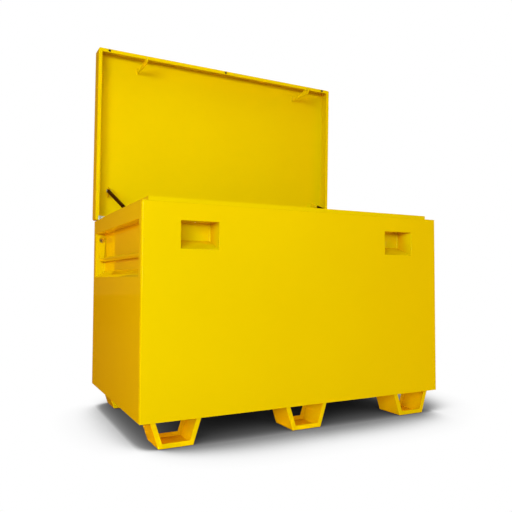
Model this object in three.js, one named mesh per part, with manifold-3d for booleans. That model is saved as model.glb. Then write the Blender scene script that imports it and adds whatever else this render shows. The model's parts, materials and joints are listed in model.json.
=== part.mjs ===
// Jobsite storage box with its lid open: a welded sheet-steel chest on six channel feet.
// Millimetres, +Z up. X runs along the box, and its front faces -Y.
// The origin lies on the ground, under the middle of what the open box covers.

import * as THREE from 'three';
import { mergeVertices } from 'three/addons/utils/BufferGeometryUtils.js';
import Module from 'manifold-3d';

const wasm = await Module();
wasm.setup();

// Box body
const bodyWidth = 1500;
const bodyDepth = 932;
const bodyHeight = 849;
const panelSheet = 2;
const panelCornerRadius = 5;
const panelReturn = 14;
const floorSheet = 3;
const seam = 0.3;

// Ledge round the top of the body, and the rim that stands up inside it
const ledgeWidth = 33;
const ledgeSheet = 2;
const rimHeight = 21;
const rimSheet = 2;

// Channel feet
const footHeight = 107;
const footTopWidth = 213;
const footBottomWidth = 143;
const footDepth = 150;
const footSheet = 3;
const footFlange = 20;
const footEndInset = 150.5;
const footSetback = 17;

// Lock pockets in the front panel
const pocketEndInset = 238.5;
const pocketWidth = 164;
const pocketHeight = 113;
const pocketDepth = 100;
const pocketDrop = 71;
const pocketFloorRise = 41;
const pocketSheet = 2;
const pocketFlange = 12;

// Handle recesses in the end panels
const recessPost = 46;
const recessDrop = 69;
const recessHeight = 226;
const recessDepth = 50;
const recessSillRise = 33;
const recessSheet = 2;
const recessFlange = 12;

// Drop handles and their bolts
const gripRadius = 11;
const handleDrop = 101;
const handleSetback = 31;
const handlePivotDrop = 34;
const armThickness = 6;
const armPivotRadius = 17;
const armGripRadius = 12.5;
const armSideGap = 1;
const boltRadius = 5;
const boltHeadRadius = 11;
const boltHeadHeight = 7;
const boltHeadRound = 3;
const washerRadius = 13;
const washerThickness = 2;
const nutRadius = 9;
const nutHeight = 8;
const boltTail = 3;

// Continuous hinge
const leafSheet = 2.5;
const leafWidth = 30;
const leafGap = 1;
const knuckleRadius = 5;
const knuckleCount = 15;
const knuckleGap = 1;
const hingePinRadius = 2.5;
const hingeRearGap = 0.5;
const hingeEndInset = 15;

// Lid
const lidEndInset = 6;
const lidSkirt = 82;
const lidLip = 19;
const lidSheet = 2;
const lidCornerRadius = 10;
const lidRearInset = 3;
const lidOpenAngle = THREE.MathUtils.degToRad(88.5);

// Padlock lugs under the lid
const lugThickness = 6;
const lugWidth = 36;
const lugRimGap = 13;
const padlockHoleRadius = 7;
const padlockHoleDrop = 22;
const lugEndMargin = 18;
const slotSideGap = 3;
const slotFrontGap = 9;
const slotRearGap = 4;

// Rubber buffers under the lid's front lip
const bufferEndInset = 57;
const bufferRadius = 6;
const bufferRound = 1.5;

// Gas struts and their brackets
const strutInset = 75;
const strutLidReach = 169;
const strutLidRise = 21;
const strutBoxReach = 566;
const strutBoxDrop = 39;
const tubeRadius = 9.5;
const tubeWall = 1.5;
const tubeEndWall = 6;
const glandLength = 10;
const rodRadius = 4;
const pistonLength = 10;
const pistonClearance = 0.4;
const strutEndRoom = 16;
const eyeRadius = 9;
const eyeThickness = 14;
const ferruleRadius = 5.5;
const ferruleEnd = 20;
const studRadius = 4;
const studHeadRadius = 7;
const studHeadThickness = 3;
const earThickness = 3;
const earHalfWidth = 14;
const lidEarHalfWidth = 16;
const lidPadLength = 60;
const lidPadWidth = 32;
const boxBracketOverlap = 60;

// Running clearance round pins and rods, and the overrun of every cut
const pinClearance = 0.3;
const overrun = 5;

// Sides of round pieces
const roundSides = 32;
const smallSides = 20;
const hingeSides = 12;
const cornerSteps = 6;

// Places that several pieces share
const halfWidth = bodyWidth / 2;
const lidWidth = bodyWidth - 2 * lidEndInset;
const footSpacing = halfWidth - footEndInset;
const pocketSpacing = halfWidth - pocketEndInset;
const bufferSpacing = lidWidth / 2 - bufferEndInset;
const panelTop = bodyHeight - ledgeSheet - seam;
const rimInnerInset = ledgeWidth + rimSheet;
const hingeY = bodyDepth + hingeRearGap + knuckleRadius;
const hingeZ = bodyHeight + seam + leafSheet + leafGap / 2;
const pocketTop = bodyHeight - pocketDrop;
const pocketBottom = pocketTop - pocketHeight;
const recessTop = bodyHeight - recessDrop;
const recessBottom = recessTop - recessHeight;
const handlePivotZ = recessTop - handlePivotDrop;
const handlePivotX = halfWidth - handleSetback;

// The lid's own frame has the hinge axis as its origin and is drawn closed
const lidLipZ = leafGap / 2 + leafSheet + seam;
const lidTopZ = lidLipZ + lidSkirt;
const lidPlateZ = lidTopZ - lidSheet;
const lidFrontY = -hingeY;
const lidRearY = bodyDepth - lidRearInset - hingeY;
const lugFrontY = rimInnerInset + lugRimGap;
const lugRearY = lugFrontY + lugWidth;
const lugEndZ = pocketTop - padlockHoleDrop - lugEndMargin;

// The struts' places: each runs from a stud on the box to a stud on the lid
const strutX = halfWidth - strutInset;
const boxPivotY = hingeY - strutBoxReach;
const boxPivotZ = bodyHeight - strutBoxDrop;
const openPivotY = hingeY - strutLidReach * Math.cos(lidOpenAngle) + strutLidRise * Math.sin(lidOpenAngle);
const openPivotZ = hingeZ + strutLidReach * Math.sin(lidOpenAngle) + strutLidRise * Math.cos(lidOpenAngle);
const strutOpenLength = Math.hypot(openPivotY - boxPivotY, openPivotZ - boxPivotZ);
const strutOpenAngle = Math.atan2(openPivotZ - boxPivotZ, openPivotY - boxPivotY);
const closedPivotY = hingeY - strutLidReach;
const closedPivotZ = hingeZ + strutLidRise;
const strutClosedLength = Math.hypot(closedPivotY - boxPivotY, closedPivotZ - boxPivotZ);
const tubeLength = strutClosedLength - 2 * ferruleEnd - strutEndRoom;
const rodEnd = strutClosedLength - ferruleEnd - tubeEndWall - tubeWall;

// How far back the open lid reaches, which sets the origin
const openRearY = hingeY + lidRearY * Math.cos(lidOpenAngle) + lidTopZ * Math.sin(lidOpenAngle);

// Finishes
const powderCoat = { color: 0xefc800, roughness: 0.3, metalness: 0 };
const zincPlate = { color: 0xc9ccd0, roughness: 0.3, metalness: 1 };
const polishedRod = { color: 0xd5d8dc, roughness: 0.12, metalness: 1 };
const strutPaint = { color: 0x141416, roughness: 0.35, metalness: 0 };
const blackRubber = { color: 0x18181a, roughness: 0.8, metalness: 0 };

// Makes a closed solid of a three.js geometry.
function solid(geometry) {
  const bare = geometry.clone();
  bare.deleteAttribute('normal');
  bare.deleteAttribute('uv');
  const merged = mergeVertices(bare);
  const vertProperties = new Float32Array(merged.attributes.position.array);
  const triVerts = new Uint32Array(merged.index.array);
  return new wasm.Manifold(new wasm.Mesh({ numProp: 3, vertProperties, triVerts }));
}

// Makes a three.js geometry of a closed solid.
function geometryOf(body) {
  const { vertProperties, triVerts } = body.getMesh();
  const geometry = new THREE.BufferGeometry();
  geometry.setAttribute('position', new THREE.BufferAttribute(new Float32Array(vertProperties), 3));
  geometry.setIndex(new THREE.BufferAttribute(new Uint32Array(triVerts), 1));
  geometry.computeVertexNormals();
  return geometry;
}

// A block between two values on each axis, given in either order.
function block([x0, x1], [y0, y1], [z0, z1]) {
  const geometry = new THREE.BoxGeometry(Math.abs(x1 - x0), Math.abs(y1 - y0), Math.abs(z1 - z0));
  geometry.translate((x0 + x1) / 2, (y0 + y1) / 2, (z0 + z1) / 2);
  return solid(geometry);
}

function extruded(outline, depth) {
  return new THREE.ExtrudeGeometry(outline, { depth, bevelEnabled: false, curveSegments: cornerSteps });
}

// An outline drawn along X and Y, pulled up from z0 to z1.
function prismZ(outline, [z0, z1]) {
  const geometry = extruded(outline, z1 - z0);
  geometry.translate(0, 0, z0);
  return solid(geometry);
}

// An outline drawn along Y and Z, pulled along X from the lower value to the higher.
function prismX(outline, [x0, x1]) {
  const low = Math.min(x0, x1);
  const geometry = extruded(outline, Math.abs(x1 - x0));
  const toYZ = new THREE.Matrix4().makeBasis(
    new THREE.Vector3(0, 1, 0), new THREE.Vector3(0, 0, 1), new THREE.Vector3(1, 0, 0));
  geometry.applyMatrix4(toYZ);
  geometry.translate(low, 0, 0);
  return solid(geometry);
}

// An outline drawn along X and Z, pulled along Y from y0 to y1.
function prismY(outline, [y0, y1]) {
  const geometry = extruded(outline, y1 - y0);
  geometry.rotateX(Math.PI / 2);
  geometry.translate(0, y1, 0);
  return solid(geometry);
}

// A round bar along X between two values, given in either order.
function barX(radius, [x0, x1], y, z, sides) {
  const geometry = new THREE.CylinderGeometry(radius, radius, Math.abs(x1 - x0), sides);
  geometry.rotateZ(Math.PI / 2);
  geometry.translate((x0 + x1) / 2, y, z);
  return solid(geometry);
}

// A round bar along Y between two values, given in either order.
function barY(radius, [y0, y1], x, z, sides) {
  const geometry = new THREE.CylinderGeometry(radius, radius, Math.abs(y1 - y0), sides);
  geometry.translate(x, (y0 + y1) / 2, z);
  return solid(geometry);
}

// A turned piece about the Y axis, from a profile of radius and place along Y.
function turned(profile, sides) {
  const points = profile.map(([radius, along]) => new THREE.Vector2(radius, along));
  return solid(new THREE.LatheGeometry(points, sides));
}

function polygon(points) {
  return new THREE.Shape(points.map(([u, v]) => new THREE.Vector2(u, v)));
}

// A rectangle with round corners.
function roundedRectangle([x0, x1], [y0, y1], radius) {
  const outline = new THREE.Shape();
  outline.moveTo(x0 + radius, y0);
  outline.absarc(x1 - radius, y0 + radius, radius, -Math.PI / 2, 0);
  outline.absarc(x1 - radius, y1 - radius, radius, 0, Math.PI / 2);
  outline.absarc(x0 + radius, y1 - radius, radius, Math.PI / 2, Math.PI);
  outline.absarc(x0 + radius, y0 + radius, radius, Math.PI, 3 * Math.PI / 2);
  return outline;
}

function namedMesh(name, body, finish) {
  const mesh = new THREE.Mesh(geometryOf(body), new THREE.MeshStandardMaterial(finish));
  mesh.name = name;
  return mesh;
}

// Both ends of the box: -X is left and +X is right, seen from the front.
const sides = [{ name: 'left', side: -1 }, { name: 'right', side: 1 }];

// A front or rear panel: one sheet that turns round both corners onto the ends.
function cornerSheet() {
  const outerRadius = panelCornerRadius;
  const innerRadius = Math.max(outerRadius - panelSheet, panelSheet / 4);
  const innerX = halfWidth - panelSheet;
  const bendX = innerX - innerRadius;
  const bendY = panelSheet + innerRadius;
  const outline = new THREE.Shape();
  outline.moveTo(-halfWidth, panelReturn);
  outline.absarc(-halfWidth + outerRadius, outerRadius, outerRadius, Math.PI, 3 * Math.PI / 2);
  outline.absarc(halfWidth - outerRadius, outerRadius, outerRadius, -Math.PI / 2, 0);
  outline.lineTo(halfWidth, panelReturn);
  outline.lineTo(innerX, panelReturn);
  outline.absarc(bendX, bendY, innerRadius, 0, -Math.PI / 2, true);
  outline.absarc(-bendX, bendY, innerRadius, -Math.PI / 2, -Math.PI, true);
  outline.lineTo(-innerX, panelReturn);
  return prismZ(outline, [0, panelTop]);
}

function frontPanel() {
  let sheet = cornerSheet();
  for (const { side } of sides) {
    const mouthX = [side * pocketSpacing - pocketWidth / 2, side * pocketSpacing + pocketWidth / 2];
    sheet = sheet.subtract(block(mouthX, [-overrun, panelReturn], [pocketBottom, pocketTop]));
  }
  return namedMesh('front_panel', sheet, powderCoat);
}

function rearPanel() {
  const mesh = namedMesh('rear_panel', cornerSheet(), powderCoat);
  mesh.rotation.z = Math.PI;
  mesh.position.y = bodyDepth;
  return mesh;
}

function endPanel({ name, side }) {
  const outer = side * halfWidth;
  const inner = side * (halfWidth - panelSheet);
  const edge = panelReturn + seam;
  const sheet = block([outer, inner], [edge, bodyDepth - edge], [0, panelTop]);
  const mouth = block(
    [side * (halfWidth + overrun), side * (halfWidth - overrun)], [recessPost, bodyDepth - recessPost],
    [recessBottom, recessTop]);
  return namedMesh(`${name}_end_panel`, sheet.subtract(mouth), powderCoat);
}

function floorPanel() {
  const gap = panelSheet + seam;
  const notch = panelCornerRadius;
  let sheet = block([-halfWidth + gap, halfWidth - gap], [gap, bodyDepth - gap], [0, floorSheet]);
  for (const { side } of sides) {
    const notchX = [side * (halfWidth - notch), side * halfWidth];
    for (const notchY of [[0, notch], [bodyDepth - notch, bodyDepth]]) {
      sheet = sheet.subtract(block(notchX, notchY, [-overrun, floorSheet + overrun]));
    }
  }
  return namedMesh('floor_panel', sheet, powderCoat);
}

// The ledge lies on the four panels, and the rim stands on its inner edge.
function ledgeFrame() {
  const plan = roundedRectangle([-halfWidth, halfWidth], [0, bodyDepth], panelCornerRadius);
  const ledge = prismZ(plan, [bodyHeight - ledgeSheet, bodyHeight]);
  const rim = block(
    [-halfWidth + ledgeWidth, halfWidth - ledgeWidth], [ledgeWidth, bodyDepth - ledgeWidth],
    [bodyHeight - ledgeSheet, bodyHeight + rimHeight]);
  const mouth = block(
    [-halfWidth + rimInnerInset, halfWidth - rimInnerInset], [rimInnerInset, bodyDepth - rimInnerInset],
    [bodyHeight - overrun, bodyHeight + rimHeight + overrun]);
  return namedMesh('ledge_frame', ledge.add(rim).subtract(mouth), powderCoat);
}

// A folded channel foot: two sloping sides and a flat base, with flanges turned in at both ends.
const footSolidHeight = footHeight - seam;
const footSlope = (footTopWidth - footBottomWidth) / 2 / footSolidHeight;

function footOutline(inset, top) {
  const sideInset = inset * Math.hypot(1, footSlope);
  const halfAt = (z) => footTopWidth / 2 + footSlope * z - sideInset;
  const bottom = -footSolidHeight + inset;
  const right = [[halfAt(bottom), bottom], [halfAt(top), top]];
  return polygon([[-halfAt(top), top], [-halfAt(bottom), bottom], ...right]);
}

function foot(name, x, y) {
  const body = prismY(footOutline(0, 0), [0, footDepth]);
  const hollow = prismY(footOutline(footSheet, overrun), [footSheet, footDepth - footSheet]);
  const windows = prismY(footOutline(footFlange, overrun), [-overrun, footDepth + overrun]);
  const mesh = namedMesh(name, body.subtract(hollow).subtract(windows), powderCoat);
  mesh.position.set(x, y, -seam);
  return mesh;
}

function feet() {
  const columns = [['left', -footSpacing], ['middle', 0], ['right', footSpacing]];
  const rows = [['front', footSetback], ['rear', bodyDepth - footSetback - footDepth]];
  return rows.flatMap(([row, y]) => columns.map(([column, x]) => foot(`foot_${row}_${column}`, x, y)));
}

// A lock pocket: a welded box behind the panel, whose floor slopes out and whose roof has the lug's slot.
function lockPocket({ name, side }) {
  const centre = side * pocketSpacing;
  const frontY = panelSheet + seam;
  const floorAt = (y) => pocketBottom + pocketFloorRise * y / pocketDepth;
  const floorWall = pocketSheet * Math.hypot(1, pocketFloorRise / pocketDepth);
  const backY = pocketDepth + pocketSheet;
  const inside = polygon([
    [0, floorAt(0)], [pocketDepth, floorAt(pocketDepth)], [pocketDepth, pocketTop], [0, pocketTop]]);
  const outside = polygon([
    [frontY, floorAt(frontY) - floorWall], [backY, floorAt(backY) - floorWall],
    [backY, pocketTop + pocketSheet], [frontY, pocketTop + pocketSheet]]);
  const halfInside = pocketWidth / 2;
  const halfOutside = halfInside + pocketSheet;
  const halfFlange = halfOutside + pocketFlange;
  const shell = prismX(outside, [centre - halfOutside, centre + halfOutside]);
  const flange = block(
    [centre - halfFlange, centre + halfFlange], [frontY, frontY + pocketSheet],
    [pocketBottom - pocketSheet - pocketFlange, pocketTop + pocketSheet + pocketFlange]);
  const hollow = prismX(inside, [centre - halfInside, centre + halfInside]);
  const halfSlot = lugThickness / 2 + slotSideGap;
  const slot = block(
    [centre - halfSlot, centre + halfSlot], [lugFrontY - slotFrontGap, lugRearY + slotRearGap],
    [pocketTop - overrun, pocketTop + pocketSheet + overrun]);
  const body = shell.add(flange).subtract(hollow).subtract(slot);
  return namedMesh(`${name}_lock_pocket`, body, powderCoat);
}

// A handle recess: a welded pan behind the end panel, whose sill slopes out.
function handleRecess({ name, side }) {
  const mouthX = halfWidth - panelSheet - seam;
  const backX = halfWidth - recessDepth;
  const sillAt = (x) => recessBottom + recessSillRise * (halfWidth - x) / recessDepth;
  const sillWall = recessSheet * Math.hypot(1, recessSillRise / recessDepth);
  const outerBackX = backX - recessSheet;
  const inside = polygon([
    [side * halfWidth, sillAt(halfWidth)], [side * halfWidth, recessTop],
    [side * backX, recessTop], [side * backX, sillAt(backX)]]);
  const outside = polygon([
    [side * mouthX, sillAt(mouthX) - sillWall], [side * mouthX, recessTop + recessSheet],
    [side * outerBackX, recessTop + recessSheet], [side * outerBackX, sillAt(outerBackX) - sillWall]]);
  const frontY = recessPost;
  const rearY = bodyDepth - recessPost;
  const shell = prismY(outside, [frontY - recessSheet, rearY + recessSheet]);
  const border = recessSheet + recessFlange;
  const flange = block(
    [side * mouthX, side * (mouthX - recessSheet)], [frontY - border, rearY + border],
    [recessBottom - border, recessTop + border]);
  const hollow = prismY(inside, [frontY, rearY]);
  const holeEnds = [frontY - overrun, rearY + overrun];
  const boltHoles = barY(boltRadius + pinClearance, holeEnds, side * handlePivotX, handlePivotZ, smallSides);
  const body = shell.add(flange).subtract(hollow).subtract(boltHoles);
  return namedMesh(`${name}_handle_recess`, body, powderCoat);
}

// A drop handle: a round grip welded between two flat arms, hanging from its bolts.
function dropHandle({ name, side }) {
  const frontY = recessPost + armSideGap;
  const rearY = bodyDepth - recessPost - armSideGap;
  const arm = new THREE.Shape();
  arm.absarc(0, 0, armPivotRadius, 0, Math.PI);
  arm.absarc(0, -handleDrop, armGripRadius, Math.PI, 2 * Math.PI);
  const gripEnds = [frontY + armThickness / 2, rearY - armThickness / 2];
  const grip = barY(gripRadius, gripEnds, 0, -handleDrop, roundSides);
  const frontArm = prismY(arm, [frontY, frontY + armThickness]);
  const rearArm = prismY(arm, [rearY - armThickness, rearY]);
  const holes = barY(boltRadius + pinClearance, [frontY - overrun, rearY + overrun], 0, 0, smallSides);
  const mesh = namedMesh(`${name}_handle`, grip.add(frontArm).add(rearArm).subtract(holes), powderCoat);
  mesh.position.set(side * handlePivotX, 0, handlePivotZ);
  return mesh;
}

// A handle bolt and its nut, drawn along Y: the recess's side wall is at zero, the tail behind it.
function handleBolt(name) {
  const seat = -(armSideGap + armThickness + seam);
  const washerFace = seat - washerThickness;
  const headFace = washerFace - boltHeadHeight;
  const tailEnd = recessSheet + seam + nutHeight + boltTail;
  const profile = [
    [0, headFace], [boltHeadRadius - boltHeadRound, headFace], [boltHeadRadius, headFace + boltHeadRound],
    [boltHeadRadius, washerFace], [washerRadius, washerFace], [washerRadius, seat],
    [boltRadius, seat], [boltRadius, tailEnd], [0, tailEnd]];
  return namedMesh(name, turned(profile, smallSides), zincPlate);
}

function handleNut(name) {
  const seat = recessSheet + seam;
  const end = seat + nutHeight;
  const hexagon = barY(nutRadius, [seat, end], 0, 0, 6);
  const hole = barY(boltRadius + pinClearance, [seat - overrun, end + overrun], 0, 0, smallSides);
  return namedMesh(name, hexagon.subtract(hole), zincPlate);
}

function handleFasteners({ name, side }) {
  const ends = [['front', recessPost, Math.PI], ['rear', bodyDepth - recessPost, 0]];
  return ends.flatMap(([end, wallY, turn]) => {
    const pair = [handleBolt(`${name}_handle_bolt_${end}`), handleNut(`${name}_handle_nut_${end}`)];
    for (const piece of pair) {
      piece.rotation.z = turn;
      piece.position.set(side * handlePivotX, wallY, handlePivotZ);
    }
    return pair;
  });
}

// The hinge: its leaves lie on each other when the lid is shut, with knuckles behind the rear panel.
const hingeHalfLength = lidWidth / 2 - hingeEndInset;
const knucklePitch = 2 * hingeHalfLength / knuckleCount;

function hingeLeaf(name, firstKnuckle, leafZ) {
  const clear = knuckleRadius + hingeRearGap;
  let leaf = block([-hingeHalfLength, hingeHalfLength], [-leafWidth, 0], [leafZ, leafZ + leafSheet]);
  for (let place = 0; place < knuckleCount; place += 1) {
    const start = -hingeHalfLength + place * knucklePitch;
    const end = start + knucklePitch;
    if (place % 2 === firstKnuckle) {
      const span = [start + knuckleGap / 2, end - knuckleGap / 2];
      leaf = leaf.add(barX(knuckleRadius, span, 0, 0, hingeSides));
    } else {
      const span = [start - knuckleGap / 2, end + knuckleGap / 2];
      leaf = leaf.subtract(block(span, [-clear, clear], [-clear, clear]));
    }
  }
  const boreEnds = [-hingeHalfLength - overrun, hingeHalfLength + overrun];
  const bore = barX(hingePinRadius + pinClearance, boreEnds, 0, 0, hingeSides);
  return namedMesh(name, leaf.subtract(bore), zincPlate);
}

function hingePin() {
  const pin = barX(hingePinRadius, [-hingeHalfLength, hingeHalfLength], 0, 0, hingeSides);
  const mesh = namedMesh('hinge_pin', pin, zincPlate);
  mesh.position.set(0, hingeY, hingeZ);
  return mesh;
}

function hingeBodyLeaf() {
  const mesh = hingeLeaf('hinge_body_leaf', 0, -leafGap / 2 - leafSheet);
  mesh.position.set(0, hingeY, hingeZ);
  return mesh;
}

// The lid: a shallow folded tray with a lip turned in all round its open side.
function lidPlan(inset, radius) {
  const halfLid = lidWidth / 2 - inset;
  return roundedRectangle([-halfLid, halfLid], [lidFrontY + inset, lidRearY - inset], radius);
}

function lidShell() {
  const innerRadius = Math.max(lidCornerRadius - lidSheet, lidSheet / 4);
  const halfMouth = lidWidth / 2 - lidLip;
  const outer = prismZ(lidPlan(0, lidCornerRadius), [lidLipZ, lidTopZ]);
  const inner = prismZ(lidPlan(lidSheet, innerRadius), [lidLipZ + lidSheet, lidPlateZ]);
  const mouth = block(
    [-halfMouth, halfMouth], [lidFrontY + lidLip, lidRearY - lidLip],
    [lidLipZ - overrun, lidLipZ + lidSheet + overrun]);
  return namedMesh('lid_shell', outer.subtract(inner).subtract(mouth), powderCoat);
}

// A padlock lug: a flat bar that drops through the slot in the pocket's roof when the lid shuts.
function lockLug({ name, side }) {
  const centre = side * pocketSpacing;
  const frontY = lugFrontY - hingeY;
  const rearY = lugRearY - hingeY;
  const endZ = lugEndZ - hingeZ;
  const endRadius = Math.min(lugEndMargin, lugWidth / 2);
  const outline = new THREE.Shape();
  outline.moveTo(frontY, lidPlateZ - seam);
  outline.absarc(frontY + endRadius, endZ + endRadius, endRadius, Math.PI, 3 * Math.PI / 2);
  outline.absarc(rearY - endRadius, endZ + endRadius, endRadius, 3 * Math.PI / 2, 2 * Math.PI);
  outline.lineTo(rearY, lidPlateZ - seam);
  const bar = prismX(outline, [centre - lugThickness / 2, centre + lugThickness / 2]);
  const holeEnds = [centre - lugThickness, centre + lugThickness];
  const hole = barX(padlockHoleRadius, holeEnds, (frontY + rearY) / 2, endZ + lugEndMargin, roundSides);
  return namedMesh(`${name}_lock_lug`, bar.subtract(hole), powderCoat);
}

// A round rubber buffer under the front lip, which meets the ledge when the lid shuts.
function lidBuffer(name, x) {
  const height = lidLipZ + hingeZ - bodyHeight - 2 * seam;
  const profile = [
    [0, -height], [bufferRadius - bufferRound, -height], [bufferRadius, -height + bufferRound],
    [bufferRadius, 0], [0, 0]];
  const mesh = namedMesh(name, turned(profile, smallSides), blackRubber);
  mesh.rotation.x = Math.PI / 2;
  mesh.position.set(x, lidFrontY + lidLip / 2, lidLipZ - seam);
  return mesh;
}

// The strut's bracket on the lid: a pad against the plate and an ear that carries the stud.
const eyeInner = strutX - eyeThickness / 2 - seam;
const eyeOuter = strutX + eyeThickness / 2 + seam;
const lidEarOuter = eyeInner - studHeadThickness - seam;
const lidEarInner = lidEarOuter - earThickness;

// A round bar along X on one side of the box, at a strut's pivot.
function pivotBar(side, radius, [x0, x1], y, z) {
  return barX(radius, [side * x0, side * x1], y, z, smallSides);
}

function lidStrutBracket({ name, side }) {
  const pivotY = -strutLidReach;
  const padY = [pivotY - lidPadLength / 2, pivotY + lidPadLength / 2];
  const padTop = lidPlateZ - seam;
  const outline = new THREE.Shape();
  outline.moveTo(padY[1], padTop);
  outline.lineTo(padY[0], padTop);
  outline.absarc(pivotY, strutLidRise, lidEarHalfWidth, Math.PI, 2 * Math.PI);
  const ear = prismX(outline, [side * lidEarOuter, side * lidEarInner]);
  const padX = [side * lidEarOuter, side * (lidEarOuter - lidPadWidth)];
  const pad = block(padX, padY, [padTop - earThickness, padTop]);
  const holeEnds = [lidEarOuter + overrun, lidEarInner - overrun];
  const hole = pivotBar(side, studRadius + pinClearance, holeEnds, pivotY, strutLidRise);
  return namedMesh(`${name}_strut_lid_bracket`, ear.add(pad).subtract(hole), powderCoat);
}

// The lid's stud runs through its ear and the strut's eye, with a collar between them and a head outside.
function lidStrutStud({ name, side }) {
  const pivotY = -strutLidReach;
  const headOuter = eyeOuter + studHeadThickness;
  const shank = pivotBar(side, studRadius, [headOuter, lidEarInner - boltTail], pivotY, strutLidRise);
  const collar = pivotBar(side, studHeadRadius, [eyeInner, lidEarOuter + seam], pivotY, strutLidRise);
  const head = pivotBar(side, studHeadRadius, [headOuter, eyeOuter], pivotY, strutLidRise);
  return namedMesh(`${name}_strut_lid_stud`, shank.add(collar).add(head), zincPlate);
}

// The strut's bracket on the box: a plate on the back of the handle recess that rises past its roof.
const boxEarOuter = halfWidth - recessDepth - recessSheet - seam;
const boxEarInner = boxEarOuter - earThickness;

function boxStrutBracket({ name, side }) {
  const lowZ = recessTop - boxBracketOverlap;
  const outline = new THREE.Shape();
  outline.moveTo(boxPivotY - earHalfWidth, lowZ);
  outline.lineTo(boxPivotY + earHalfWidth, lowZ);
  outline.absarc(boxPivotY, boxPivotZ, earHalfWidth, 0, Math.PI);
  const plate = prismX(outline, [side * boxEarOuter, side * boxEarInner]);
  const holeEnds = [boxEarOuter + overrun, boxEarInner - overrun];
  const hole = pivotBar(side, studRadius + pinClearance, holeEnds, boxPivotY, boxPivotZ);
  return namedMesh(`${name}_strut_box_bracket`, plate.subtract(hole), powderCoat);
}

// The box's stud runs through its ear and ends against the strut's socket.
function boxStrutStud({ name, side }) {
  const shank = pivotBar(side, studRadius, [boxEarOuter + boltTail, eyeOuter], boxPivotY, boxPivotZ);
  const collar = pivotBar(side, studHeadRadius, [boxEarInner - seam, eyeOuter], boxPivotY, boxPivotZ);
  return namedMesh(`${name}_strut_box_stud`, shank.add(collar), zincPlate);
}

// A gas strut is drawn along Y from its stud on the box: rod below, tube above.
function strutEnd([along, inner]) {
  const halfEye = eyeThickness / 2;
  const ring = barX(eyeRadius, [-halfEye, halfEye], along, 0, smallSides);
  return ring.add(barY(ferruleRadius, [along, inner], 0, 0, smallSides));
}

function strutRod() {
  const pistonRadius = tubeRadius - tubeWall - pistonClearance;
  const rodStart = ferruleEnd + seam;
  const pistonStart = rodEnd - pistonLength;
  return turned([
    [0, rodStart], [rodRadius, rodStart], [rodRadius, pistonStart],
    [pistonRadius, pistonStart], [pistonRadius, rodEnd], [0, rodEnd]], smallSides);
}

function strutTube() {
  const boreRadius = tubeRadius - tubeWall;
  const glandRadius = rodRadius + pinClearance;
  const top = strutOpenLength - ferruleEnd - seam;
  const bottom = top - tubeLength;
  return turned([
    [0, top - tubeEndWall], [boreRadius, top - tubeEndWall], [boreRadius, bottom + glandLength],
    [glandRadius, bottom + glandLength], [glandRadius, bottom], [tubeRadius, bottom],
    [tubeRadius, top], [0, top]], roundSides);
}

function gasStrut({ name, side }) {
  const strut = new THREE.Group();
  strut.position.set(side * strutX, boxPivotY, boxPivotZ);
  strut.rotation.x = strutOpenAngle;
  const holeEnds = [-eyeThickness, eyeThickness];
  const eyeHole = barX(studRadius + pinClearance, holeEnds, strutOpenLength, 0, smallSides);
  const upperEye = strutEnd([strutOpenLength, strutOpenLength - ferruleEnd]).subtract(eyeHole);
  strut.add(namedMesh(`${name}_strut_lower_socket`, strutEnd([0, ferruleEnd]), strutPaint));
  strut.add(namedMesh(`${name}_strut_rod`, strutRod(), polishedRod));
  strut.add(namedMesh(`${name}_strut_tube`, strutTube(), strutPaint));
  strut.add(namedMesh(`${name}_strut_upper_eye`, upperEye, strutPaint));
  return strut;
}

// The box stands on its feet, and the lid hangs on the hinge.
const storageBox = new THREE.Group();
const box = new THREE.Group();
box.position.set(0, -openRearY / 2, footHeight);
storageBox.add(box);

box.add(frontPanel(), rearPanel(), floorPanel(), ledgeFrame(), ...feet());
box.add(hingeBodyLeaf(), hingePin());
for (const end of sides) {
  box.add(endPanel(end), handleRecess(end), dropHandle(end), ...handleFasteners(end));
  box.add(lockPocket(end), boxStrutBracket(end), boxStrutStud(end), gasStrut(end));
}

const lid = new THREE.Group();
lid.position.set(0, hingeY, hingeZ);
lid.rotation.x = -lidOpenAngle;
box.add(lid);

lid.add(lidShell(), hingeLeaf('hinge_lid_leaf', 1, leafGap / 2));
lid.add(lidBuffer('lid_buffer_middle', 0));
for (const end of sides) {
  lid.add(lidBuffer(`lid_buffer_${end.name}`, end.side * bufferSpacing));
  lid.add(lockLug(end), lidStrutBracket(end), lidStrutStud(end));
}

export default storageBox;
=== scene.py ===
import json
from math import cos, pi, radians, sin

import bmesh
import bpy
from mathutils import Matrix, Vector

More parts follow.
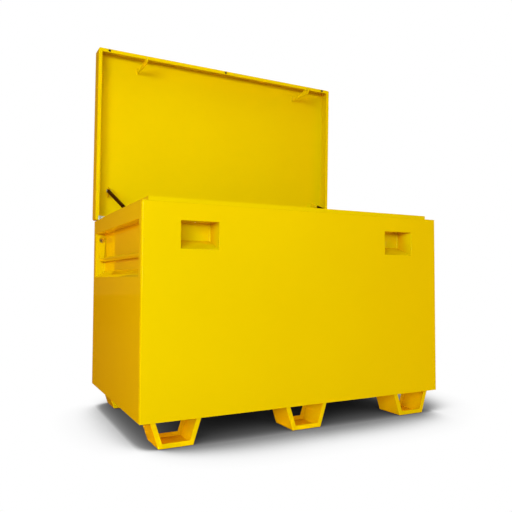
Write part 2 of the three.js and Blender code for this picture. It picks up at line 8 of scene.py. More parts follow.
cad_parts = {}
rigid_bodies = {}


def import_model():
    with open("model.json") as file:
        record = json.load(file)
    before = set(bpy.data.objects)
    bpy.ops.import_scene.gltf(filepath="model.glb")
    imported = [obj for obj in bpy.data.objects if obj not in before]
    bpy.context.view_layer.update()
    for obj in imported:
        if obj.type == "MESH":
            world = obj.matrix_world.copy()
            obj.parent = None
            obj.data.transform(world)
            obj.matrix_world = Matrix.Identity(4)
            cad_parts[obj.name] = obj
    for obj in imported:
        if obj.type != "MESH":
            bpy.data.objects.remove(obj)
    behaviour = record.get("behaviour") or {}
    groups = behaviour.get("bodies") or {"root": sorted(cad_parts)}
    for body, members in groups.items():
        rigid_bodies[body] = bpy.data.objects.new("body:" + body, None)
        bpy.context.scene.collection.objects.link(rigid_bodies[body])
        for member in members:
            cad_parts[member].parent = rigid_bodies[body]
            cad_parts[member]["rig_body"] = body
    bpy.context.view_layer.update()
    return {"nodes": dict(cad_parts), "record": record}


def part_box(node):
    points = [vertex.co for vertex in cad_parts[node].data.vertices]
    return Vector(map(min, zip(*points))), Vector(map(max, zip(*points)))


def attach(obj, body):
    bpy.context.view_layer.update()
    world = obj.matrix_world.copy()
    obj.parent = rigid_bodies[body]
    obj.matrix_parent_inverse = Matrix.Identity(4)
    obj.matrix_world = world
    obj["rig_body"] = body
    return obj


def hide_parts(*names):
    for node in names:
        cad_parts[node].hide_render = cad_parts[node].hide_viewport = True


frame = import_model()
scene = bpy.context.scene
mm = 0.001

# The place the box is seen from: a person standing off its front left corner,
# with the lens at the height of the lock pockets and tipped up a little.
eye_place = Vector((-1.3125, -2.5541, 0.6537))
eye_turn = radians(27.19)
eye_tip = radians(2.43)
eye_roll = radians(0.21)
eye_lens = 38.557
eye_sensor = 36

eye = bpy.data.cameras.new("eye")
eye.lens = eye_lens
eye.sensor_width = eye_sensor
eye_object = bpy.data.objects.new("eye", eye)
eye_object.matrix_world = (
    Matrix.Translation(eye_place)
    @ Matrix.Rotation(-eye_turn, 4, "Z")
    @ Matrix.Rotation(pi / 2 + eye_tip, 4, "X")
    @ Matrix.Rotation(eye_roll, 4, "Z")
)
scene.collection.objects.link(eye_object)
scene.camera = eye_object
scene.view_settings.view_transform = "Standard"

# The room: a seamless white sweep of paper under the box and behind it, with
# the box's soft shadow painted onto the paper where the box closes it in. The paint's
# mirror meets a dimmed room, and the floor throws a warm light up into the feet and the lower edges.
floor_half = 20
floor_drop = 0.5 * mm
floor_tone = (0.8, 0.45, 0.1, 1)
shadow_reach = 0.62
shadow_samples = 96
shadow_ramp = [
    (0.04, 0.003), (0.062, 0.006), (0.088, 0.018), (0.113, 0.03), (0.163, 0.05), (0.24, 0.07), (0.36, 0.117),
    (0.46, 0.18), (0.538, 0.245), (0.562, 0.3), (0.613, 0.48), (0.663, 0.7), (0.713, 0.87),
    (0.76, 0.95), (0.84, 1.0)]
shadow_lean = (-0.25, 0.0, 1.0)
mirror_floor = (0.05, 0.038, 0.012, 1)
sky_light = 0.24
sky_mirror = 0.06
sky_tone = (1, 0.95, 0.85, 1)
mirror_tone = (1, 0.75, 0.25, 1)
plain_white = (1, 1, 1, 1)


def node_of(tree, kind, **settings):
    """A shader node with its settings and plain inputs given."""
    made = tree.nodes.new(kind)
    for key, value in settings.items():
        if key in made.inputs:
            made.inputs[key].default_value = value
        else:
            setattr(made, key, value)
    return made


def ramp_of(tree, factor, stops):
    """A colour ramp from places along it to greys or colours."""
    ramp = tree.nodes.new("ShaderNodeValToRGB")
    steps = ramp.color_ramp.elements
    while len(steps) < len(stops):
        steps.new(1)
    for step, (place, tone) in zip(steps, stops):
        step.position = place
        step.color = tone if hasattr(tone, "__len__") else (tone, tone, tone, 1)
    tree.links.new(factor, ramp.inputs["Fac"])
    return ramp


def new_material(name):
    """An empty node material and its output's surface socket."""
    material = bpy.data.materials.new(name)
    material.use_nodes = True
    material.node_tree.nodes.clear()
    output = material.node_tree.nodes.new("ShaderNodeOutputMaterial")
    return material, material.node_tree, output.inputs["Surface"]


def backdrop_ray(tree, rays):
    """1 where the background is seen straight or through glass, else 0."""
    either = node_of(tree, "ShaderNodeMath", operation="MAXIMUM")
    tree.links.new(rays.outputs["Is Camera Ray"], either.inputs[0])
    tree.links.new(rays.outputs["Is Transmission Ray"], either.inputs[1])
    return either.outputs["Value"]


paper, tree, surface = new_material("paper_sweep")
grey = node_of(tree, "ShaderNodeBsdfDiffuse", Color=floor_tone)
# Painted shadow: the paper's seen colour darkens where the box closes it in.
near = node_of(tree, "ShaderNodeAmbientOcclusion", samples=shadow_samples, Distance=shadow_reach)
lean = node_of(tree, "ShaderNodeVectorMath", operation="NORMALIZE")
lean.inputs[0].default_value = shadow_lean
tree.links.new(lean.outputs["Vector"], near.inputs["Normal"])
painted_floor_shadow = ramp_of(tree, near.outputs["AO"], shadow_ramp)
shown = node_of(tree, "ShaderNodeEmission", Strength=1)
tree.links.new(painted_floor_shadow.outputs["Color"], shown.inputs["Color"])
rays = tree.nodes.new("ShaderNodeLightPath")
dim = node_of(tree, "ShaderNodeBsdfDiffuse", Color=mirror_floor)
other = tree.nodes.new("ShaderNodeMixShader")
tree.links.new(rays.outputs["Is Glossy Ray"], other.inputs["Fac"])
tree.links.new(grey.outputs["BSDF"], other.inputs[1])
tree.links.new(dim.outputs["BSDF"], other.inputs[2])
seen = tree.nodes.new("ShaderNodeMixShader")
tree.links.new(backdrop_ray(tree, rays), seen.inputs["Fac"])
tree.links.new(other.outputs["Shader"], seen.inputs[1])
tree.links.new(shown.outputs["Emission"], seen.inputs[2])
side = tree.nodes.new("ShaderNodeNewGeometry")
clear = tree.nodes.new("ShaderNodeBsdfTransparent")
under = tree.nodes.new("ShaderNodeMixShader")
tree.links.new(side.outputs["Backfacing"], under.inputs["Fac"])
tree.links.new(seen.outputs["Shader"], under.inputs[1])
tree.links.new(clear.outputs["BSDF"], under.inputs[2])
tree.links.new(under.outputs["Shader"], surface)

sheet = bmesh.new()
bmesh.ops.create_grid(sheet, x_segments=1, y_segments=1, size=floor_half)
bmesh.ops.translate(sheet, verts=sheet.verts, vec=(0, 0, -floor_drop))
floor_mesh = bpy.data.meshes.new("paper_floor")
sheet.to_mesh(floor_mesh)
sheet.free()
floor_mesh.materials.append(paper)
paper_floor = bpy.data.objects.new("paper_floor", floor_mesh)
scene.collection.objects.link(paper_floor)

sky = bpy.data.worlds.new("white_room")
sky.use_nodes = True
scene.world = sky
tree = sky.node_tree
tree.nodes.clear()
rays = tree.nodes.new("ShaderNodeLightPath")
lit = node_of(tree, "ShaderNodeBackground", Color=sky_tone, Strength=sky_light)
mirrored = node_of(tree, "ShaderNodeBackground", Color=mirror_tone, Strength=sky_mirror)
white = node_of(tree, "ShaderNodeBackground", Color=plain_white, Strength=1)
first = tree.nodes.new("ShaderNodeMixShader")
second = tree.nodes.new("ShaderNodeMixShader")
out = tree.nodes.new("ShaderNodeOutputWorld")
tree.links.new(rays.outputs["Is Glossy Ray"], first.inputs["Fac"])
tree.links.new(lit.outputs["Background"], first.inputs[1])
tree.links.new(mirrored.outputs["Background"], first.inputs[2])
tree.links.new(backdrop_ray(tree, rays), second.inputs["Fac"])
tree.links.new(first.outputs["Shader"], second.inputs[1])
tree.links.new(white.outputs["Background"], second.inputs[2])
tree.links.new(second.outputs["Shader"], out.inputs["Surface"])

# Soft lamps: a wide and a squarer one in front, one at the left front, warm
# ones off both ends, and small ones that reach into the lid and the front feet.
# Plain ones light the right end, the top and the back.
foot_lamp_y = -0.42
foot_lamp_z = 0.06
foot_lamp_throw = Vector((0.16, 0.02, -0.015))
foot_lamp_size = (0.1, 0.04)
all_round = 180
# Each has a name, place, target, size across and up, spread, power, tone, and whether the paint mirrors it.
lamps = [
    ("front_lamp", (-2.9, -6.6, 1.45), (-0.2, -0.3, 0.9), (3.2, 1.0), all_round, 126, (0.72, 1, 1), False),
    ("glint_lamp", (-0.5, -6.8, 1.3), (-0.2, -0.3, 0.9), (2.0, 1.6), all_round, 43, (0.78, 1, 1), True),
    ("left_lamp", (-3.7, -3.6, 1.6), (-0.4, 0.2, 1.1), (1.4, 1.4), all_round, 103, (0.91, 1, 1), False),
    ("lid_lamp", (-1.6, -3.2, 1.75), (-0.3, 0.5, 1.45), (1.4, 0.3), 30, 0.7, (1, 0.55, 0.25), False),
    ("right_lamp", (3.2, -3.6, 2.2), (0.2, -0.2, 0.8), (2.0, 2.0), all_round, 34, (1, 0.12, 0.03), False),
    ("foot_lamp", (-2.6, -2.3, 0.06), (-0.2, -0.42, 0.03), (0.8, 0.04), 3, 0.13, (1, 0.6, 0.3), False),
    ("skirt_lamp", (4.0, -1.0, 1.45), (-0.75, 0.46, 1.42), (0.06, 0.7), 2, 0.08, (1, 0.35, 0.05), False),
    ("end_lamp", (-4.0, 0.5, 0.9), (-0.75, 0.2, 0.6), (1.6, 1.2), all_round, 40, (1, 0.22, 0.02), False),
    ("side_lamp", (4.6, 0.4, 1.3), (0.75, 0.0, 0.6), (2.0, 1.6), all_round, 60, (1, 1, 1), False),
    ("top_lamp", (0.4, -0.4, 4.6), (0.0, 0.0, 0.6), (3.0, 2.4), all_round, 45, (1, 1, 1), True),
    ("back_lamp", (1.8, 4.6, 2.0), (0.1, 0.4, 0.9), (2.4, 1.8), all_round, 110, (1, 1, 1), False),
]
foot_lamps = [
    ("left_foot_lamp", -0.66, 0.055, 0.55), ("middle_foot_lamp", -0.06, 0.055, 0.55),
    ("right_foot_lamp", 0.54, 0.055, 0.55), ("left_gap_lamp", -0.24, 0.035, 0.35),
    ("right_gap_lamp", 0.36, 0.035, 0.3)]
for name, x, power, green in foot_lamps:
    place = Vector((x, foot_lamp_y, foot_lamp_z))
    tone = (1, green, 0.02)
    lamps.append((name, place, place + foot_lamp_throw, foot_lamp_size, all_round, power, tone, False))
for name, place, target, (across, tall), spread, power, tone, glints in lamps:
    lamp = bpy.data.lights.new(name, "AREA")
    lamp.shape = "RECTANGLE"
    lamp.size, lamp.size_y = across, tall
    lamp.spread = radians(spread)
    lamp.energy = power
    lamp.color = tone
    holder = bpy.data.objects.new(name, lamp)
    aim = Vector(target) - Vector(place)
    holder.matrix_world = Matrix.Translation(place) @ aim.to_track_quat("-Z", "Y").to_matrix().to_4x4()
    holder.visible_camera = False
    holder.visible_glossy = glints
    scene.collection.objects.link(holder)

# The folded panels of the body: 2 mm steel under one coat of glossy yellow
# powder, which flows out to a faint orange peel. In folds and corners the base
# colour carries painted shade, darkened and turned orange by how closed in each spot is.
coat_sun = (0.830, 0.650, 0.0, 1)
coat_deep = (0.815, 0.630, 0.0, 1)
coat_mirror = (1.0, 0.8, 0.3, 1)
coat_glass = 1.5
coat_roughness = (0.045, 0.075)
coat_clouds = 2.3
# Painted shade in folds and corners: how far it looks, its darkening ramp and its samples.
painted_fold_shade_reach = 180 * mm
painted_fold_shade_ramp = [
    (0.0, (0.5, 0.2, 1, 1)), (0.12, (1, 0.66, 1, 1)), (0.22, (1, 0.92, 1, 1)), (0.35, (1, 1, 1, 1))]
painted_fold_shade_samples = 8
coat_gloss = 55
coat_peel = 620
coat_sway = 3.1
peel_depth = 0.02 * mm
sway_depth = 1.2 * mm
coat_bump = 0.5
noise_low = 0.3
noise_high = 0.7
bend_segments = 3
sharp_angle = radians(28)
flat_angle = radians(0.5)
merge_room = 0.01 * mm
smooth_angle = radians(36)


def noise_of(tree, scale, detail=2.0):
    """Noise over the piece's own metres."""
    place = tree.nodes.new("ShaderNodeTexCoord")
    noise = node_of(tree, "ShaderNodeTexNoise", Scale=scale, Detail=detail)
    tree.links.new(place.outputs["Object"], noise.inputs["Vector"])
    return noise.outputs["Fac"]


def bumped(tree, height, distance, strength, normal=None):
    """A bump of some depth in metres, laid over another where one is given."""
    bump = node_of(tree, "ShaderNodeBump", Distance=distance, Strength=strength)
    tree.links.new(height, bump.inputs["Height"])
    if normal:
        tree.links.new(normal, bump.inputs["Normal"])
    return bump.outputs["Normal"]


def graded(tree, factor, low, high):
    """Noise brought into a range, for a roughness."""
    span = node_of(tree, "ShaderNodeMapRange")
    tree.links.new(factor, span.inputs["Value"])
    span.inputs["From Min"].default_value = noise_low
    span.inputs["From Max"].default_value = noise_high
    span.inputs["To Min"].default_value = low
    span.inputs["To Max"].default_value = high
    return span.outputs["Result"]


powder_coat, tree, surface = new_material("yellow_powder_coat")
coat = node_of(tree, "ShaderNodeBsdfPrincipled", IOR=coat_glass)
coat.inputs["Specular Tint"].default_value = coat_mirror
clouds = ramp_of(tree, noise_of(tree, coat_clouds), [(noise_low, coat_deep), (noise_high, coat_sun)])
sway = bumped(tree, noise_of(tree, coat_sway), sway_depth, coat_bump)
peel = bumped(tree, noise_of(tree, coat_peel), peel_depth, coat_bump, sway)
# Painted shade: the base colour is multiplied darker and more orange where nearby surfaces close a spot in.
fold_closeness = node_of(tree, "ShaderNodeAmbientOcclusion", samples=painted_fold_shade_samples, Distance=painted_fold_shade_reach)
painted_fold_shade = ramp_of(tree, fold_closeness.outputs["AO"], painted_fold_shade_ramp)
coat_with_painted_shade = node_of(tree, "ShaderNodeMix", data_type="RGBA", blend_type="MULTIPLY", Factor=1)
tree.links.new(clouds.outputs["Color"], coat_with_painted_shade.inputs["A"])
tree.links.new(painted_fold_shade.outputs["Color"], coat_with_painted_shade.inputs["B"])
tree.links.new(coat_with_painted_shade.outputs["Result"], coat.inputs["Base Color"])
tree.links.new(graded(tree, noise_of(tree, coat_gloss), *coat_roughness), coat.inputs["Roughness"])
tree.links.new(peel, coat.inputs["Normal"])
tree.links.new(coat.outputs["BSDF"], surface)


def solid_of(node):
    """The node's solid as a bmesh, with its flat faces whole again."""
    bm = bmesh.new()
    bm.from_mesh(frame["nodes"][node].data)
    bmesh.ops.remove_doubles(bm, verts=bm.verts, dist=merge_room)
    bmesh.ops.dissolve_limit(bm, angle_limit=flat_angle, verts=bm.verts, edges=bm.edges)
    return bm


def middle_of(edge):
    """The point halfway along an edge."""
    return (edge.verts[0].co + edge.verts[1].co) / 2


def ease(bm, radius, where=None, segments=bend_segments):
    """Rounds the sharp edges, or those of them that a test picks."""
    sharp = [e for e in bm.edges if e.is_manifold and e.calc_face_angle(0) > sharp_angle]
    picked = [e for e in sharp if where is None or where(e)]
    bmesh.ops.bevel(
        bm, geom=picked, offset=radius, offset_type="OFFSET", segments=segments,
        profile=0.5, affect="EDGES", clamp_overlap=True, loop_slide=False, material=-1)


def hollow(edge):
    """An edge where two faces meet in an inside corner."""
    return edge.calc_face_angle_signed(0) < 0


def ridge(edge):
    """An edge where two faces meet in an outside corner."""
    return edge.calc_face_angle_signed(0) > 0


def body_of_node(node):
    """The moving body that carries a node."""
    return frame["nodes"][node]["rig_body"]


def make_piece(name, bm, material, body, nodes=()):
    """Turns a bmesh into a shown piece that rides on a body."""
    mesh = bpy.data.meshes.new(name)
    bm.to_mesh(mesh)
    bm.free()
    mesh.polygons.foreach_set("use_smooth", [True] * len(mesh.polygons))
    mesh.set_sharp_from_angle(angle=smooth_angle)
    mesh.materials.append(material)
    piece = bpy.data.objects.new(name, mesh)
    scene.collection.objects.link(piece)
    even = piece.modifiers.new("even_shading", "WEIGHTED_NORMAL")
    even.keep_sharp = True
    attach(piece, body)
    if nodes:
        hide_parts(*nodes)
    return piece


def coated(name, bm, nodes, body=None):
    """A powder-coated piece that stands for its nodes."""
    return make_piece(name, bm, powder_coat, body or body_of_node(nodes[0]), nodes)


front_low, front_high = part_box("front_panel")
mouth_round = 1.8 * mm
sheet_ease = 0.5 * mm
mouth_margin = 20 * mm
face_room = 1 * mm


def at_mouth(edge):
    """An edge of a lock pocket's mouth, on the panel's face."""
    place = middle_of(edge)
    inside = abs(place.x) < front_high.x - mouth_margin
    between = front_low.z + mouth_margin < place.z < front_high.z - mouth_margin
    return inside and between and place.y < front_low.y + face_room


panel = solid_of("front_panel")
ease(panel, mouth_round, at_mouth)
ease(panel, sheet_ease, lambda edge: middle_of(edge).z < front_low.z + face_room)
coated("front_panel_sheet", panel, ["front_panel"])

rear_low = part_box("rear_panel")[0]
panel = solid_of("rear_panel")
ease(panel, sheet_ease, lambda edge: middle_of(edge).z < rear_low.z + face_room)
coated("rear_panel_sheet", panel, ["rear_panel"])

for hand in ("left", "right"):
    end_low, end_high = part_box(f"{hand}_end_panel")
    out_x = end_low.x if hand == "left" else end_high.x
    panel = solid_of(f"{hand}_end_panel")

    def at_recess(edge):
        """An edge of the handle recess's mouth, on the panel's face."""
        place = middle_of(edge)
        inside = end_low.y + mouth_margin < place.y < end_high.y - mouth_margin
        between = end_low.z + mouth_margin < place.z < end_high.z - mouth_margin
        return inside and between and abs(place.x - out_x) < face_room

    ease(panel, mouth_round, at_recess)
    coated(f"{hand}_end_sheet", panel, [f"{hand}_end_panel"])

coated("floor_sheet", solid_of("floor_panel"), ["floor_panel"])

# The ledge and the rim that stands up inside it: one angle folded round the
# mouth of the box, with mitred corners welded and ground flush.
rim_bend = 2.2 * mm
rim_ease = 0.7 * mm
ledge_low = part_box("ledge_frame")[0]
ledge = solid_of("ledge_frame")
ease(ledge, rim_bend, hollow)
ease(ledge, rim_ease, lambda edge: ridge(edge) and middle_of(edge).z > ledge_low.z + face_room)
coated("ledge_and_rim", ledge, ["ledge_frame"])

# The six feet: channels of 3 mm plate folded to a trapezoid, with a flange
# turned in at both ends, welded under the floor.
foot_bend = 3.5 * mm
foot_ease = 0.8 * mm
bead_pitch = 4.5 * mm
bead_sides = 8
bead_swell = 0.16
bead_points = 4
foot_bead = 2.2 * mm
foot_bead_inset = 12 * mm
foot_fold_margin = 20 * mm
foot_side_share = 0.75
steep = 0.9
foot_welds = bmesh.new()


def lay_bead(bm, points, radius, closed=False):
    """Adds a weld's rippled bead along a line of points."""
    rings = []
    reach = 0.0
    for index, point in enumerate(points):
        before = points[index - 1] if index or closed else point
        after = points[(index + 1) % len(points)] if index + 1 < len(points) or closed else point
        along = (after - before).normalized()
        guide = Vector((0, 0, 1)) if abs(along.z) < steep else Vector((1, 0, 0))
        across = along.cross(guide).normalized()
        other = along.cross(across)
        reach += (point - before).length
        thick = radius * (1 + bead_swell * sin(2 * pi * reach / bead_pitch))
        turns = [2 * pi * side / bead_sides for side in range(bead_sides)]
        rings.append([bm.verts.new(point + (across * cos(a) + other * sin(a)) * thick) for a in turns])
    pairs = list(zip(rings, rings[1:]))
    if closed:
        pairs.append((rings[-1], rings[0]))
    new_faces = []
    for low, high in pairs:
        for side in range(bead_sides):
            turn = (side + 1) % bead_sides
            new_faces.append(bm.faces.new((low[side], low[turn], high[turn], high[side])))
    if not closed:
        new_faces += [bm.faces.new(rings[0]), bm.faces.new(rings[-1])]
    bmesh.ops.recalc_face_normals(bm, faces=new_faces)


def straight(start, end):
    """Points along a straight line, a few to each ripple of a bead."""
    count = max(bead_points, round((end - start).length * bead_points / bead_pitch))
    return [start.lerp(end, index / count) for index in range(count + 1)]


for row in ("front", "rear"):
    for column in ("left", "middle", "right"):
        node = f"foot_{row}_{column}"
        foot_low, foot_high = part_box(node)
        foot_middle = (foot_low.x + foot_high.x) / 2
        foot_reach = (foot_high.x - foot_low.x) / 2

        def on_fold(edge):
            """An outer fold of the channel: along its base, or up a sloping side."""
            place = middle_of(edge)
            aside = abs(place.x - foot_middle) > foot_side_share * foot_reach
            part_way = foot_low.z + foot_fold_margin < place.z < foot_high.z - foot_fold_margin
            return ridge(edge) and (place.z < foot_low.z + face_room or (aside and part_way))

        channel = solid_of(node)
        ease(channel, foot_bend, on_fold)
        ease(channel, foot_ease, lambda edge: middle_of(edge).z < foot_high.z - face_room, segments=2)
        coated(f"{node}_channel", channel, [node])
        for x in (foot_low.x, foot_high.x):
            start = Vector((x, foot_low.y + foot_bead_inset, foot_high.z - face_room))
            end = Vector((x, foot_high.y - foot_bead_inset, foot_high.z - face_room))
            lay_bead(foot_welds, straight(start, end), foot_bead)
make_piece("foot_weld_beads", foot_welds, powder_coat, "root")

# The lock pockets and the handle recesses: pans of 2 mm plate folded and
# welded behind the panels, with floors that slope out so that rain runs off.
pan_bend = 2.5 * mm
pan_corner = 9.0 * mm
corner_segments = 5


def upright(edge):
    """An edge that runs straight up."""
    run = edge.verts[1].co - edge.verts[0].co
    return abs(run.z) > steep * run.length


for hand in ("left", "right"):
    for kind in ("lock_pocket", "handle_recess"):
        node = f"{hand}_{kind}"
        pan = solid_of(node)
        ease(pan, pan_corner, lambda edge: hollow(edge) and upright(edge), segments=corner_segments)
        ease(pan, pan_bend, hollow)
        coated(f"{node}_pan", pan, [node])

# The drop handles: a round grip welded between two flat arms, which hang from
# shoulder bolts of zinc-plated steel.
zinc_light = (0.92, 0.88, 0.80, 1)
zinc_dull = (0.78, 0.74, 0.66, 1)
zinc_spangle = 140
zinc_spangle_detail = 3
zinc_grain = 260
zinc_roughness = (0.22, 0.38)
zinc_pits = 900
zinc_pit_depth = 0.02 * mm
handle_ease = 1.0 * mm
nut_ease = 0.6 * mm
arm_thick = 6 * mm
grip_radius = 11 * mm
grip_foot = 12.5 * mm
grip_bead = 1.6 * mm
grip_steps = 64
head_radius = 11 * mm
head_height = 7 * mm
dome_height = 5 * mm
dome_steps = 8
washer_radius = 13 * mm
washer_thick = 2 * mm
washer_ease = 0.4 * mm
shank_radius = 5 * mm

zinc_plate, tree, surface = new_material("zinc_plate")
plate = node_of(tree, "ShaderNodeBsdfPrincipled", Metallic=1)
spangle = ramp_of(
    tree, noise_of(tree, zinc_spangle, zinc_spangle_detail), [(0.35, zinc_dull), (0.65, zinc_light)])
tree.links.new(spangle.outputs["Color"], plate.inputs["Base Color"])
tree.links.new(graded(tree, noise_of(tree, zinc_grain), *zinc_roughness), plate.inputs["Roughness"])
tree.links.new(bumped(tree, noise_of(tree, zinc_pits), zinc_pit_depth, 0.4), plate.inputs["Normal"])
tree.links.new(plate.outputs["BSDF"], surface)


def turned(profile, place, along, sides=32):
    """A closed solid turned from pairs of radius and reach along an axis."""
    bm = bmesh.new()
    across = along.orthogonal().normalized()
    points = [bm.verts.new(place + across * radius + along * reach) for radius, reach in profile]
    edges = [bm.edges.new(pair) for pair in zip(points, points[1:])]
    bmesh.ops.spin(
        bm, geom=points + edges, cent=place, axis=along, angle=2 * pi, steps=sides,
        use_merge=True, use_duplicate=False)
    bmesh.ops.remove_doubles(bm, verts=bm.verts, dist=merge_room)
    bmesh.ops.recalc_face_normals(bm, faces=bm.faces)
    return bm


def shoulder_bolt(node, end):
    """A bolt with a domed head on a plain washer, its tail through the wall."""
    low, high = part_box(node)
    face, tail = (low.y, high.y) if end == "rear" else (high.y, low.y)
    middle = (low + high) / 2
    length = high.y - low.y
    turns = [pi / 2 * step / dome_steps for step in range(dome_steps + 1)]
    dome = [(head_radius * sin(turn), dome_height * (1 - cos(turn))) for turn in turns]
    rest = [
        (head_radius, head_height), (washer_radius - washer_ease, head_height),
        (washer_radius, head_height + washer_ease), (washer_radius, head_height + washer_thick),
        (shank_radius, head_height + washer_thick), (shank_radius, length - washer_ease),
        (shank_radius - washer_ease, length), (0, length)]
    along = Vector((0, 1 if tail > face else -1, 0))
    return turned(dome + rest, Vector((middle.x, face, middle.z)), along)


for hand in ("left", "right"):
    handle = solid_of(f"{hand}_handle")
    ease(handle, handle_ease, segments=2)
    coated(f"{hand}_drop_handle", handle, [f"{hand}_handle"])
    grip_low, grip_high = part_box(f"{hand}_handle")
    grip_middle = Vector(((grip_low.x + grip_high.x) / 2, 0, grip_low.z + grip_foot))
    rings = bmesh.new()
    for arm_y in (grip_low.y + arm_thick, grip_high.y - arm_thick):
        turns = [2 * pi * step / grip_steps for step in range(grip_steps)]
        ring = [
            Vector((grip_middle.x + grip_radius * cos(a), arm_y, grip_middle.z + grip_radius * sin(a)))
            for a in turns]
        lay_bead(rings, ring, grip_bead, closed=True)
    make_piece(
        f"{hand}_grip_weld_beads", rings, powder_coat, body_of_node(f"{hand}_handle"))
    for end in ("front", "rear"):
        for kind in ("bolt", "nut"):
            node = f"{hand}_handle_{kind}_{end}"
            fastener = shoulder_bolt(node, end) if kind == "bolt" else solid_of(node)
            if kind == "nut":
                ease(fastener, nut_ease, segments=2)
            make_piece(f"{node}_zinc", fastener, zinc_plate, body_of_node(node), [node])

# The continuous hinge: two zinc-plated leaves whose knuckles turn on one pin
# along the whole back edge.
for node in ("hinge_body_leaf", "hinge_lid_leaf", "hinge_pin"):
    make_piece(f"{node}_zinc", solid_of(node), zinc_plate, body_of_node(node), [node])

# The lid: a shallow tray folded from one sheet, with a lip turned in all
# round, its corners welded and ground.
lid_bend = 4.5 * mm
lid_inside_bend = 2.6 * mm
lip_ease = 0.6 * mm
lid_edge_room = 8 * mm
lid_hinge = frame["record"]["behaviour"]["joints"][0]
hinge_place = Vector(lid_hinge["pos_m"])
open_turn = Matrix.Rotation(-radians(lid_hinge["range_deg"][1]), 4, "X")
to_open = Matrix.Translation(hinge_place) @ open_turn @ Matrix.Translation(-hinge_place)
tray = solid_of("lid_shell")
bmesh.ops.transform(tray, matrix=to_open.inverted(), verts=tray.verts)


def corners_of(bm):
    """The lowest and the highest corner of a bmesh's box."""
    low = Vector([min(v.co[axis] for v in bm.verts) for axis in range(3)])
    high = Vector([max(v.co[axis] for v in bm.verts) for axis in range(3)])
    return low, high


lid_low, lid_high = corners_of(tray)


def on_outside(edge):
    """An edge of the tray on the outside of its plate, skirts and lip."""
    place = middle_of(edge)
    room = min(place.x - lid_low.x, lid_high.x - place.x, place.y - lid_low.y, lid_high.y - place.y)
    return ridge(edge) and room < lid_edge_room


ease(tray, lid_inside_bend, hollow)
ease(tray, lid_bend, on_outside, segments=4)
ease(tray, lip_ease, lambda edge: ridge(edge) and not on_outside(edge), segments=2)
bmesh.ops.transform(tray, matrix=to_open, verts=tray.verts)
coated("lid_tray", tray, ["lid_shell"])

# The padlock lugs: flat bars welded upright under the lid, each with a round
# hole for the shackle.
lug_ease = 0.8 * mm
lug_bead = 2.0 * mm
lug_bead_inset = 2 * mm
lug_welds = bmesh.new()
for hand in ("left", "right"):
    lug = solid_of(f"{hand}_lock_lug")
    bmesh.ops.transform(lug, matrix=to_open.inverted(), verts=lug.verts)
    lug_low, lug_high = corners_of(lug)
    ease(lug, lug_ease, segments=2)
    bmesh.ops.transform(lug, matrix=to_open, verts=lug.verts)
    coated(f"{hand}_padlock_lug", lug, [f"{hand}_lock_lug"])
    for x in (lug_low.x, lug_high.x):
        start = Vector((x, lug_low.y + lug_bead_inset, lug_high.z - face_room))
        end = Vector((x, lug_high.y - lug_bead_inset, lug_high.z - face_room))
        lay_bead(lug_welds, straight(start, end), lug_bead)
bmesh.ops.transform(lug_welds, matrix=to_open, verts=lug_welds.verts)
make_piece("lug_weld_beads", lug_welds, powder_coat, "lid")

# Three black rubber buffers pressed into the lid's front lip, moulded with a
# dull skin and rounded edges.
rubber_deep = (0.010, 0.010, 0.010, 1)
rubber_worn = (0.020, 0.019, 0.018, 1)
rubber_mottle = 180
rubber_grain = 400
rubber_roughness = (0.6, 0.8)
rubber_pores = 1200
rubber_pore_depth = 0.05 * mm
buffer_round = 0.9 * mm

rubber, tree, surface = new_material("buffer_rubber")
skin = node_of(tree, "ShaderNodeBsdfPrincipled")
tone = ramp_of(tree, noise_of(tree, rubber_mottle), [(noise_low, rubber_deep), (noise_high, rubber_worn)])
tree.links.new(tone.outputs["Color"], skin.inputs["Base Color"])
tree.links.new(graded(tree, noise_of(tree, rubber_grain), *rubber_roughness), skin.inputs["Roughness"])
tree.links.new(bumped(tree, noise_of(tree, rubber_pores), rubber_pore_depth, 0.5), skin.inputs["Normal"])
tree.links.new(skin.outputs["BSDF"], surface)

for place in ("left", "middle", "right"):
    node = f"lid_buffer_{place}"
    bumper = solid_of(node)
    ease(bumper, buffer_round)
    make_piece(f"{node}_rubber", bumper, rubber, "lid", [node])

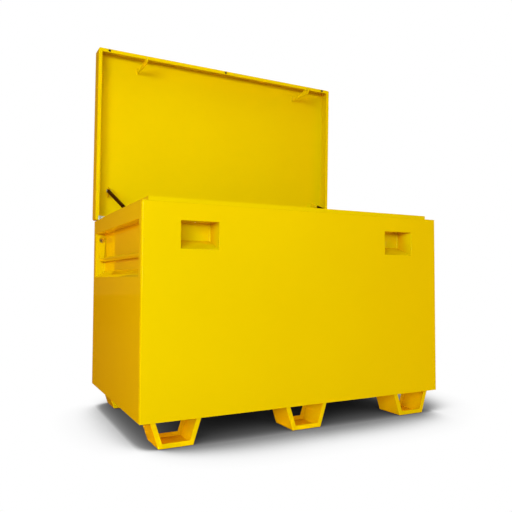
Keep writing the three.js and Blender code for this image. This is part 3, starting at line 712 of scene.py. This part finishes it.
# The gas struts: a tube in brown-black enamel with an eye at its top, a polished
# rod and a socket at its foot, between zinc studs on coated brackets.
enamel_deep = (0.03, 0.004, 0.0, 1)
enamel_light = (0.042, 0.006, 0.0, 1)
enamel_mirror = (1, 0.3, 0.12, 1)
enamel_glass = 1.2
enamel_shine = 0.15
enamel_mottle = 60
enamel_grain = 300
enamel_roughness = (0.4, 0.52)
enamel_peel = 1100
enamel_peel_depth = 0.02 * mm
rod_dull = (0.66, 0.67, 0.68, 1)
rod_bright = (0.74, 0.75, 0.76, 1)
rod_mottle = 90
rod_grain = 500
rod_roughness = (0.08, 0.16)

strut_black, tree, surface = new_material("strut_enamel")
enamel = node_of(tree, "ShaderNodeBsdfPrincipled", IOR=enamel_glass)
enamel.inputs["Specular IOR Level"].default_value = enamel_shine
enamel.inputs["Specular Tint"].default_value = enamel_mirror
tone = ramp_of(tree, noise_of(tree, enamel_mottle), [(noise_low, enamel_deep), (noise_high, enamel_light)])
tree.links.new(tone.outputs["Color"], enamel.inputs["Base Color"])
tree.links.new(graded(tree, noise_of(tree, enamel_grain), *enamel_roughness), enamel.inputs["Roughness"])
tree.links.new(bumped(tree, noise_of(tree, enamel_peel), enamel_peel_depth, 0.4), enamel.inputs["Normal"])
tree.links.new(enamel.outputs["BSDF"], surface)

rod_steel, tree, surface = new_material("polished_rod")
chrome = node_of(tree, "ShaderNodeBsdfPrincipled", Metallic=1)
tone = ramp_of(tree, noise_of(tree, rod_mottle), [(noise_low, rod_dull), (noise_high, rod_bright)])
tree.links.new(tone.outputs["Color"], chrome.inputs["Base Color"])
tree.links.new(graded(tree, noise_of(tree, rod_grain), *rod_roughness), chrome.inputs["Roughness"])
tree.links.new(chrome.outputs["BSDF"], surface)

for hand in ("left", "right"):
    for node in (f"{hand}_strut_lid_bracket", f"{hand}_strut_box_bracket"):
        bracket = solid_of(node)
        ease(bracket, sheet_ease, segments=2)
        coated(f"{node}_plate", bracket, [node])
    for node in (f"{hand}_strut_lid_stud", f"{hand}_strut_box_stud"):
        make_piece(f"{node}_zinc", solid_of(node), zinc_plate, body_of_node(node), [node])
    for part in ("tube", "upper_eye", "lower_socket"):
        node = f"{hand}_strut_{part}"
        piece = solid_of(node)
        make_piece(f"{node}_enamel", piece, strut_black, body_of_node(node), [node])
    node = f"{hand}_strut_rod"
    make_piece(f"{node}_steel", solid_of(node), rod_steel, body_of_node(node), [node])
